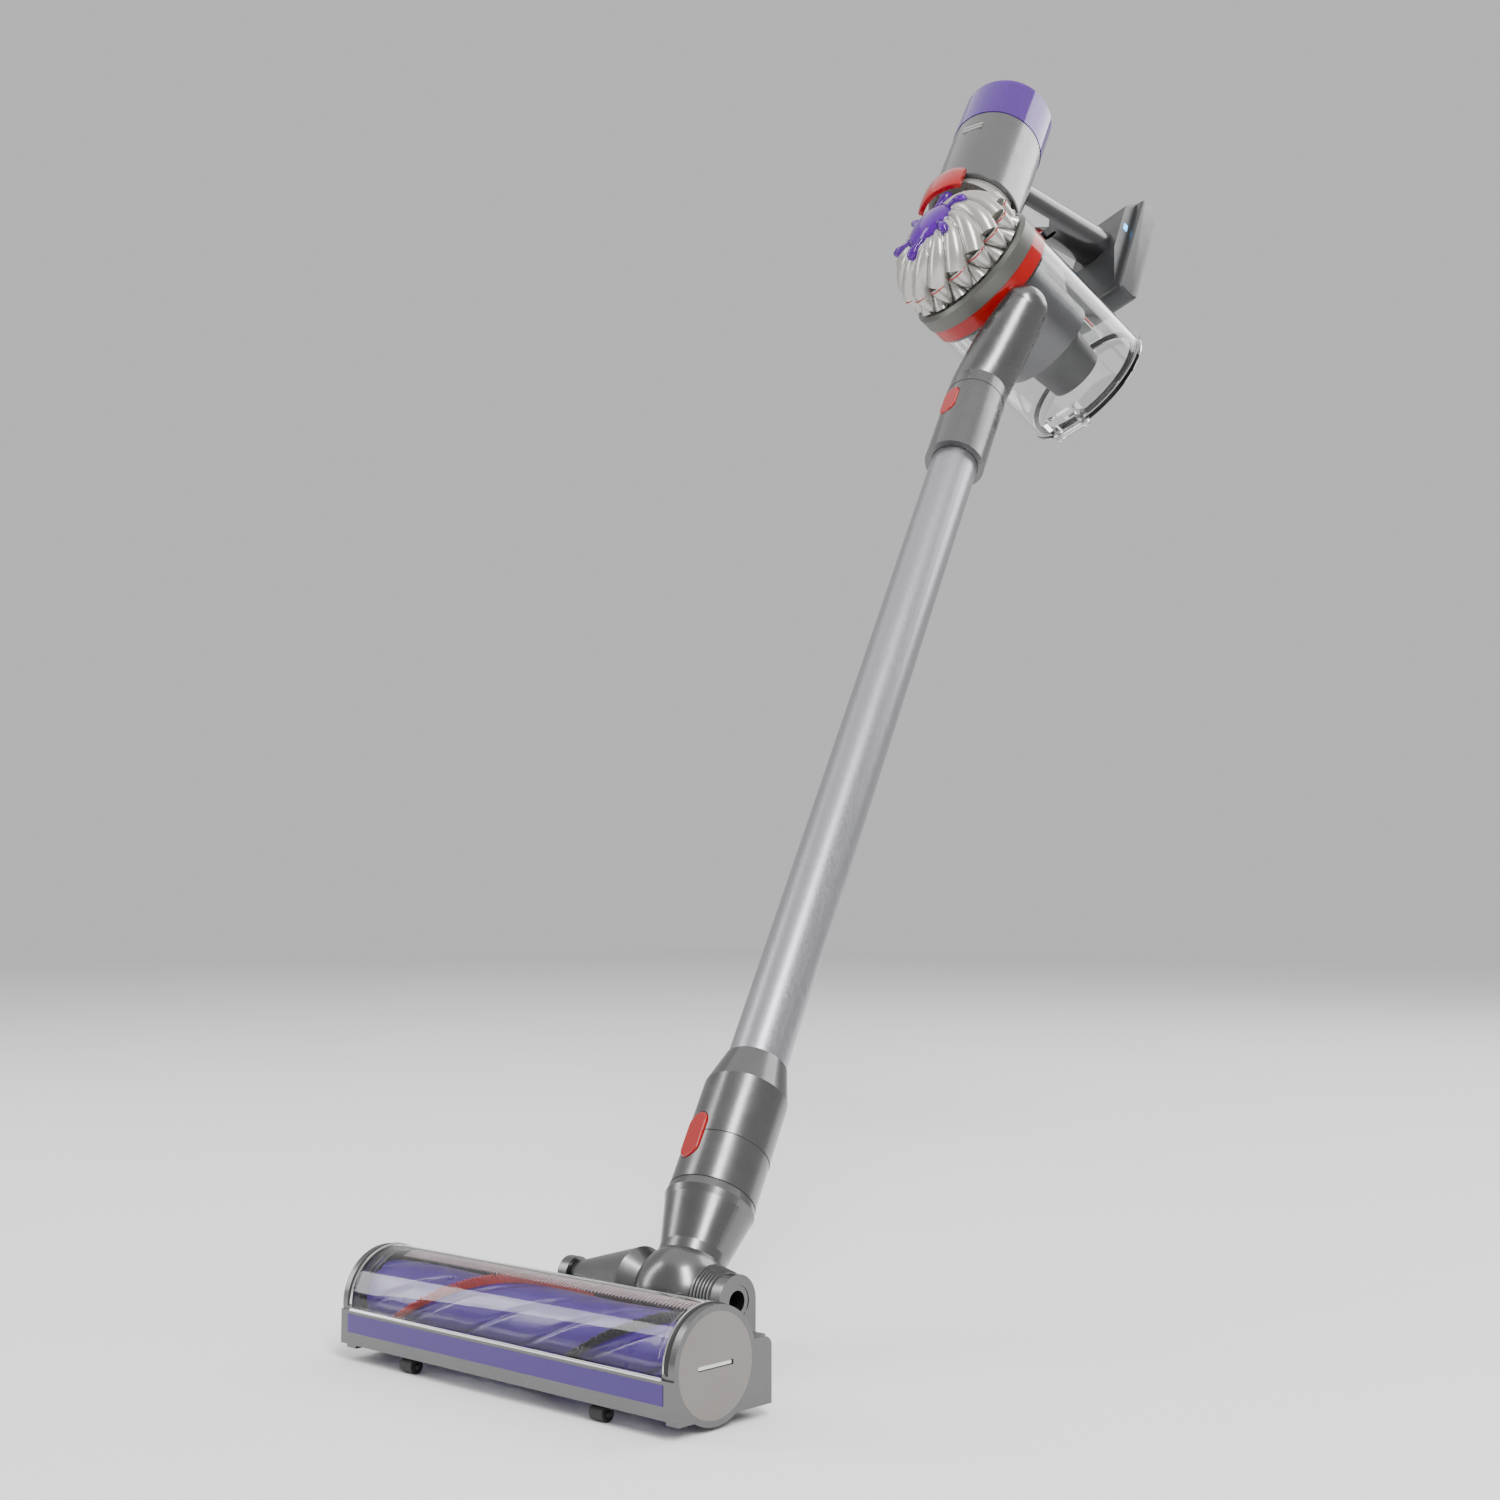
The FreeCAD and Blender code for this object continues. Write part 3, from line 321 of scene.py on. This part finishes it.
def add_turned(mesh, profile, sides=96, centre=(0, 0, 0), axis="Z", shape=None):
    """Closed solid of revolution from (radius, along) points; shape may vary the radius."""
    rings = []
    for radius, along in profile:
        ring = []
        for step in range(sides):
            turn = 2 * math.pi * step / sides
            reach = radius * (shape(turn, along) if shape else 1.0)
            across, other = reach * math.cos(turn), reach * math.sin(turn)
            point = {"Z": (across, other, along), "Y": (other, along, across),
                     "X": (along, across, other)}[axis]
            ring.append(mesh.verts.new(Vector(centre) + Vector(point)))
        rings.append(ring)
    skin(mesh, rings)


def add_block(mesh, low, high, place=None, bevel=0.4):
    """Box between two corners, with softened edges."""
    piece = bmesh.new()
    bmesh.ops.create_cube(piece, size=1.0)
    size = Vector(high) - Vector(low)
    middle = (Vector(high) + Vector(low)) / 2
    bmesh.ops.scale(piece, vec=size, verts=piece.verts)
    bmesh.ops.bevel(piece, geom=piece.edges, offset=bevel, segments=2, affect="EDGES")
    bmesh.ops.translate(piece, vec=middle, verts=piece.verts)
    if place is not None:
        piece.transform(place)
    add_mesh(mesh, piece)


def add_mesh(mesh, other):
    data = bpy.data.meshes.new("part")
    other.to_mesh(data)
    other.free()
    mesh.from_mesh(data)
    bpy.data.meshes.remove(data)


# ---- cyclones ----------------------------------------------------------------------------
def on_bin(radius, degrees, y):
    turn = math.radians(degrees)
    return Vector((radius * math.sin(turn), y, BIN_Z + radius * math.cos(turn)))


def rib_path(start, swirl, reach, lift):
    """Curved line from under the purple cap out to a cyclone's lip."""
    points = []
    for step in range(11):
        share = step / 10
        bow = math.sin(share * math.pi) * lift
        radius = 19 + (reach - 19) * share ** 0.85 + bow * 0.5
        y = -92.5 + (LIP_Y + 92.5) * share ** 1.8 - bow
        points.append(on_bin(radius, start + swirl * share ** 1.3, y))
    return points


def build_cyclones():
    """Swirl of double ribs, each ending in a round lip, over a smooth dome."""
    mesh = bmesh.new()
    add_turned(mesh, [(CORE_R, LIP_Y), (46, LIP_Y), (46, -70), (43, -77), (36, -84.5), (25, -89.5),
                      (CORE_R, -90)], 96, (0, 0, BIN_Z), "Y")
    for number in range(CYCLONES):
        start = number * PITCH
        body = rib_path(start, SWIRL, LIP_RING_R, 1.5)
        add_tube(mesh, body, [3.0, 3.7, 4.5, 5.4, 6.3, 7.1, 7.8, 8.4, 8.9, 9.1, 8.9], 20)
        side = rib_path(start - 0.44 * PITCH, SWIRL, 45.0, 4.6)
        add_tube(mesh, side[:9], [1.6, 1.9, 2.1, 2.3, 2.4, 2.4, 2.2, 1.8, 1.1], 12)
    cones = finished("cyclone_swirl", "cyclone_pack", "cyclone_silver", mesh, MACHINE, 60)
    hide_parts("cyclone_cones")


def build_lips():
    """Thin red gasket round each cyclone's lip."""
    mesh = bmesh.new()
    for number in range(CYCLONES):
        centre = on_bin(LIP_RING_R, number * PITCH + SWIRL, LIP_Y)
        ring = []
        for step in range(25):
            turn = 2 * math.pi * step / 24
            ring.append(centre + Vector((LIP_R * math.cos(turn), 0.3, LIP_R * math.sin(turn))))
        add_tube(mesh, ring, [0.55] * 25, 6)
    finished("cyclone_lips", "cyclone_pack", "red", mesh, MACHINE)


def build_lobes():
    """Second tier of cones, tapering to points at the bezel."""
    mesh = bmesh.new()
    add_turned(mesh, [(CORE_R, LIP_Y), (44, LIP_Y), (46, -60), (48.5, -48.05), (CORE_R, -48.05)],
               96, (0, 0, BIN_Z), "Y")
    for number in range(CYCLONES):
        angle = number * PITCH + SWIRL
        points = [on_bin(LIP_RING_R + 3.0 * share, angle, LIP_Y + 17.5 * share)
                  for share in (0, 0.25, 0.5, 0.75, 0.92, 1.0)]
        add_tube(mesh, points, [8.7, 7.8, 6.4, 4.6, 2.8, 1.2], 18)
        between = angle + PITCH / 2
        points = [on_bin(44 + 9.0 * share, between, LIP_Y + 1 + 16.5 * share)
                  for share in (0, 0.4, 0.8, 1.0)]
        add_tube(mesh, points, [1.6, 3.4, 5.2, 5.6], 12)
    lobes = finished("cyclone_points", "cyclone_pack", "cyclone_silver", mesh, MACHINE, 60)
    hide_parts("cyclone_lobes")


def build_purple_cap():
    """Translucent cap with claws that reach over the cyclones."""
    mesh = bmesh.new()
    dome = [(0.5, -103.4), (6, -103.2), (12, -102.3), (17, -100.7), (21, -98.4),
            (23.4, -95.8), (24, -94.4), (23, -92.6), (0.5, -92.6)]
    add_turned(mesh, dome, 72, (0, 0, BIN_Z), "Y")
    for number in range(6):
        start = number * 60 + 8
        points = [on_bin(radius, start + twist, y) for radius, twist, y in
                  ((20, 0, -95.8), (25, 2, -96.4), (29, 4, -97.0), (32.5, 7, -96.6),
                   (36, 10, -95.0), (38, 12, -93.2))]
        add_tube(mesh, points, [4.0, 2.8, 2.8, 4.0, 4.4, 2.4], 16, 0.8)
    cap = finished("purple_claw_cap", "pre_filter", "purple_clear", mesh, MACHINE, 50)
    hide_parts("pre_filter_cap")


# ---- cleaning head -----------------------------------------------------------------------
BRUSH_LOW, BRUSH_HIGH = -114.0, 114.0
TWIST = -300.0 / (BRUSH_HIGH - BRUSH_LOW - 6)


def around_brush(radius, degrees, x):
    """Point at an angle from straight up, turning towards the front."""
    turn = math.radians(degrees)
    return Vector((x, -radius * math.sin(turn), AXIS_Z + radius * math.cos(turn)))


def build_brush():
    """Purple roller with helical grooves."""
    mesh = bmesh.new()
    steps, sides, starts = 190, 120, 6
    rings = []
    for index in range(steps + 1):
        x = BRUSH_LOW + (BRUSH_HIGH - BRUSH_LOW) * index / steps
        ring = []
        for step in range(sides):
            degrees = 360 * step / sides
            phase = math.radians((degrees - TWIST * x) * starts)
            groove = max(0.0, math.cos(phase) - 0.93) / 0.07
            radius = 20.3 - 1.1 * groove + 0.35 * math.cos(phase / 2)
            ring.append(mesh.verts.new(around_brush(radius, degrees, x)))
        rings.append(ring)
    skin(mesh, rings)
    brush = finished("brush_roller", "brush_bar", "brush_purple", mesh, HEAD, 50)
    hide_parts("brush_core")


def build_bristle_row(name, node, material, first_degrees, rows, spacing):
    """Helical strip of tufts, each a bundle of tapering hairs."""
    mesh = bmesh.new()
    x = BRUSH_LOW + 3
    while x < BRUSH_HIGH - 3:
        base = first_degrees + TWIST * (x - BRUSH_LOW - 3)
        for row in range(rows):
            degrees = base + (row - (rows - 1) / 2) * 2.6 + random.uniform(-0.6, 0.6)
            lean = random.uniform(-1.2, 1.2)
            top = 25.0 + random.uniform(-0.4, 0.1)
            points = [around_brush(19.5, degrees, x), around_brush(22.5, degrees + lean * 0.4, x),
                      around_brush(top, degrees + lean, x + random.uniform(-0.5, 0.5))]
            add_tube(mesh, points, [0.62, 0.58, 0.30], 5)
        x += spacing
    strip = finished(name, "brush_bar", material, mesh, HEAD, 80)
    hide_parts(node)


def build_comb():
    """Slanted pale teeth along the window's back edge, on a curved bar."""
    mesh = bmesh.new()
    count = 88
    for number in range(count):
        x = -104 + 212 * number / (count - 1)
        points = [around_brush(25.95, degrees, x + slant)
                  for degrees, slant in ((-40, 0), (-22, 2.0), (-8, 3.6), (6, 5.2), (18, 6.6))]
        add_tube(mesh, points, [0.55, 0.55, 0.55, 0.5, 0.35], 6, 0.7)
    bar = [around_brush(25.95, -40, x) for x in (-106, 0, 110)]
    add_tube(mesh, bar, [0.5, 0.5, 0.5], 8)
    comb = finished("window_teeth", "head", "comb_pale", mesh, HEAD, 60)
    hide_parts("window_comb")


def build_window_rails():
    """Bright rail that holds the window at its front; painted highlights, drawn as thin shiny tubes, along the
    window's top back edge and both its ends.
    """
    mesh = bmesh.new()
    add_block(mesh, (-118, -29.4, 26.2), (118, -26.4, 28.0), bevel=0.5)
    finished("window_front_rail", "head", "chrome_and_highlight_line", mesh, HEAD)
    mesh = bmesh.new()
    # painted highlight: a thin shiny tube along the window's top back edge stands in for a highlight line
    add_tube(mesh, [around_brush(27.7, -13, x) for x in (-116, 0, 116)], [0.45] * 3, 8)
    # painted highlight: shiny tubes at both ends of the window stand in for bright edges
    for x in (-118.2, 118.2):
        points = [around_brush(27.9, degrees, x) for degrees in range(-30, 94, 4)]
        add_tube(mesh, points, [0.7] * len(points), 8)
    finished("window_edge_highlights", "head", "chrome_and_highlight_line", mesh, HEAD)
    mesh = bmesh.new()
    for x in (-120.0, 120.0):
        points = [around_brush(27.8, degrees, x) for degrees in range(-40, 94, 4)]
        add_tube(mesh, points, [0.8] * len(points), 8)
    finished("window_gaskets", "head", "seal_black", mesh, HEAD)
    mesh = bmesh.new()
    for x in (-112.5, -108.5, 112.5):
        points = [around_brush(25.9, degrees, x) for degrees in range(-30, 84, 6)]
        add_tube(mesh, points, [0.55] * len(points), 8)
    finished("window_ribs", "head", "clear", mesh, HEAD)


def build_slot_insert():
    """Bright floor of the end cap's coin slot."""
    mesh = bmesh.new()
    add_block(mesh, (123.0, -11.6, AXIS_Z - 1.0), (124.3, 11.6, AXIS_Z + 1.0), bevel=0.3)
    finished("slot_floor", "end_cap", "chrome_and_highlight_line", mesh, HEAD)


def build_seams():
    """Dark shadow lines where the wand's collars and the neck meet."""
    for name, body, z, radius in (("collar_seam", "wand", TUBE_END - 62, COLLAR_SEAM_R),
                                  ("neck_seam", "wand", TUBE_END - 91.7, COLLAR_SEAM_R),
                                  ("inlet_seam", "handheld", 78, INLET_SEAM_R)):
        mesh = bmesh.new()
        turns = [math.radians(step) for step in range(0, 361, 4)]
        ring = [Vector((radius * math.cos(turn), radius * math.sin(turn), z)) for turn in turns]
        add_tube(mesh, ring, [0.28] * len(ring), 6)
        finished(name, body, "seal_black", mesh, MACHINE)


def build_lever():
    """Red arched lever round the front of the motor's foot."""
    mesh = bmesh.new()
    sections = []
    for step in range(25):
        degrees = -34 + 68 * step / 24
        turn = math.radians(degrees)
        outward = Vector((math.sin(turn), -math.cos(turn), 0))
        centre = Vector((0, MOTOR_Y, 0))
        fall = 4.0 * (degrees / 34) ** 4
        outline = [(39.6, 252), (43.4, 252), (44.3, 254), (45.2, 262), (45.2, 272 - fall),
                   (44.2, 278.5 - fall), (41.6, 280.8 - fall), (39.6, 281 - fall)]
        sections.append([mesh.verts.new(centre + outward * reach + Vector((0, 0, z)))
                         for reach, z in outline])
    skin(mesh, sections)
    lever = finished("red_lever", "cyclone_pack", "red", mesh, MACHINE, 50)
    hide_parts("release_lever")


def build_motor_details():
    """Two short raised bars, a generic pointer on the motor housing."""
    mesh = bmesh.new()
    for sign in (-1, 1):
        place = (Matrix.Translation((0, MOTOR_Y, 352 + sign * 2.2))
                 @ Matrix.Rotation(math.radians(18), 4, "Z"))
        add_block(mesh, (-9, -MOTOR_R - 0.45, -1.6), (9, -MOTOR_R + 1.2, 1.6), place, 0.35)
    finished("housing_pointer", "handheld", "cyclone_silver", mesh, MACHINE)


def rounded_outline(low, high, radii):
    """Corners of a rounded rectangle, from the low corner round; one radius for each corner."""
    centres = [(low[0], low[1], 1, 1, 180), (high[0], low[1], -1, 1, 270),
               (high[0], high[1], -1, -1, 0), (low[0], high[1], 1, -1, 90)]
    points = []
    for (x, y, inward_x, inward_y, start), radius in zip(centres, radii):
        for step in range(7):
            turn = math.radians(start + 15 * step)
            points.append((x + radius * (inward_x + math.cos(turn)),
                           y + radius * (inward_y + math.sin(turn))))
    return points


def build_battery_slab():
    """Outer half of the battery, with round corners and softened ends."""
    mesh = bmesh.new()
    rings = []
    for x, inset in ((-33.1, 2.4), (-32.7, 1.1), (-31.6, 0.3), (-30.2, 0.05),
                     (30.2, 0.05), (31.6, 0.3), (32.7, 1.1), (33.1, 2.4)):
        outline = rounded_outline((83.4 + inset, 313 + inset), (106.0 - inset, 453 - inset),
                                  (4 - inset, 8 - inset, 10 - inset, 6 - inset))
        rings.append([mesh.verts.new((x, y, z)) for y, z in outline])
    skin(mesh, rings)
    slab = finished("battery_shell", "handheld", "battery_grey", mesh, MACHINE, 40)
    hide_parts("battery_slab")


def build_runner_strips():
    """Red strips on both sides of the bin's rail."""
    mesh = bmesh.new()
    for side in (-1, 1):
        low_x, high_x = sorted((side * 9.0, side * 10.2))
        add_block(mesh, (low_x, -12, 272.8), (high_x, 62, 276.4), bevel=0.4)
        add_block(mesh, (low_x, 68, 272.8), (high_x, 86, 276.4), bevel=0.4)
    finished("runner_strips", "handheld", "red", mesh, MACHINE)


# ---- studio ------------------------------------------------------------------------------
def build_floor():
    low = min(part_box(name)[0].z for name in ("rear_wheel_left", "front_roller_left"))
    mesh = bmesh.new()
    bmesh.ops.create_grid(mesh, x_segments=8, y_segments=8, size=6)
    data = bpy.data.meshes.new("floor")
    mesh.to_mesh(data)
    mesh.free()
    floor = bpy.data.objects.new("floor", data)
    floor.location = (0, 0, low)
    bpy.context.scene.collection.objects.link(floor)
    material, tree, shader = new_material("floor_pale")
    shader.inputs["Roughness"].default_value = 0.7
    tinted(tree, shader, (0.90, 0.90, 0.90), spread(tree, noise(tree, 3), 0, 1), 0.01)
    data.materials.append(material)


def area_light(name, place, target, size, power, colour=(1, 1, 1)):
    lamp = bpy.data.lights.new(name, "AREA")
    lamp.shape = "RECTANGLE"
    lamp.size, lamp.size_y = size
    lamp.energy = power
    lamp.color = colour
    obj = bpy.data.objects.new(name, lamp)
    obj.location = place
    obj.rotation_euler = (Vector(target) - Vector(place)).to_track_quat("-Z", "Y").to_euler()
    bpy.context.scene.collection.objects.link(obj)


def build_lights():
    world = bpy.data.worlds.new("studio")
    bpy.context.scene.world = world
    world.use_nodes = True
    background = world.node_tree.nodes["Background"]
    background.inputs["Color"].default_value = (1, 1, 1, 1)
    background.inputs["Strength"].default_value = 0.62
    middle = (0, -0.35, -0.35)
    area_light("key", (1.9, -1.6, 1.5), middle, (0.7, 2.4), 110)
    area_light("fill", (-1.8, -1.9, 0.6), middle, (0.6, 2.4), 30)
    area_light("back", (0.6, 2.0, 1.4), middle, (2.0, 1.6), 45)
    area_light("top", (-0.6, 0.6, 2.6), (-0.6, 0.6, -1), (5.0, 5.0), 50)


CAMERA_AZIMUTH = 42.3
CAMERA_ELEVATION = -4.3
CAMERA_PLACE = Vector((776.7, -692.7, 246.2))   # in the head's frame, mm
CAMERA_LENS = 48.0


def build_camera():
    camera = bpy.data.cameras.new("camera")
    camera.sensor_width = 36.0
    camera.lens = CAMERA_LENS
    obj = bpy.data.objects.new("camera", camera)
    turn = math.radians(CAMERA_AZIMUTH)
    tilt = math.radians(90 - CAMERA_ELEVATION)
    obj.location = HEAD @ CAMERA_PLACE
    obj.rotation_euler = (tilt, 0, turn)
    bpy.context.scene.collection.objects.link(obj)
    bpy.context.scene.camera = obj


def main():
    dress_cad()
    build_cyclones()
    build_lips()
    build_lobes()
    build_purple_cap()
    build_brush()
    build_bristle_row("bristle_row_red", "brush_bristles_red", "bristle_red", 134, 3, 0.9)
    build_bristle_row("bristle_row_black", "brush_bristles_black", "bristle_black", -46, 3, 0.9)
    build_comb()
    build_window_rails()
    build_slot_insert()
    build_seams()
    build_lever()
    build_motor_details()
    build_battery_slab()
    build_runner_strips()
    build_floor()
    build_lights()
    build_camera()


main()
bpy.context.view_layer.update()
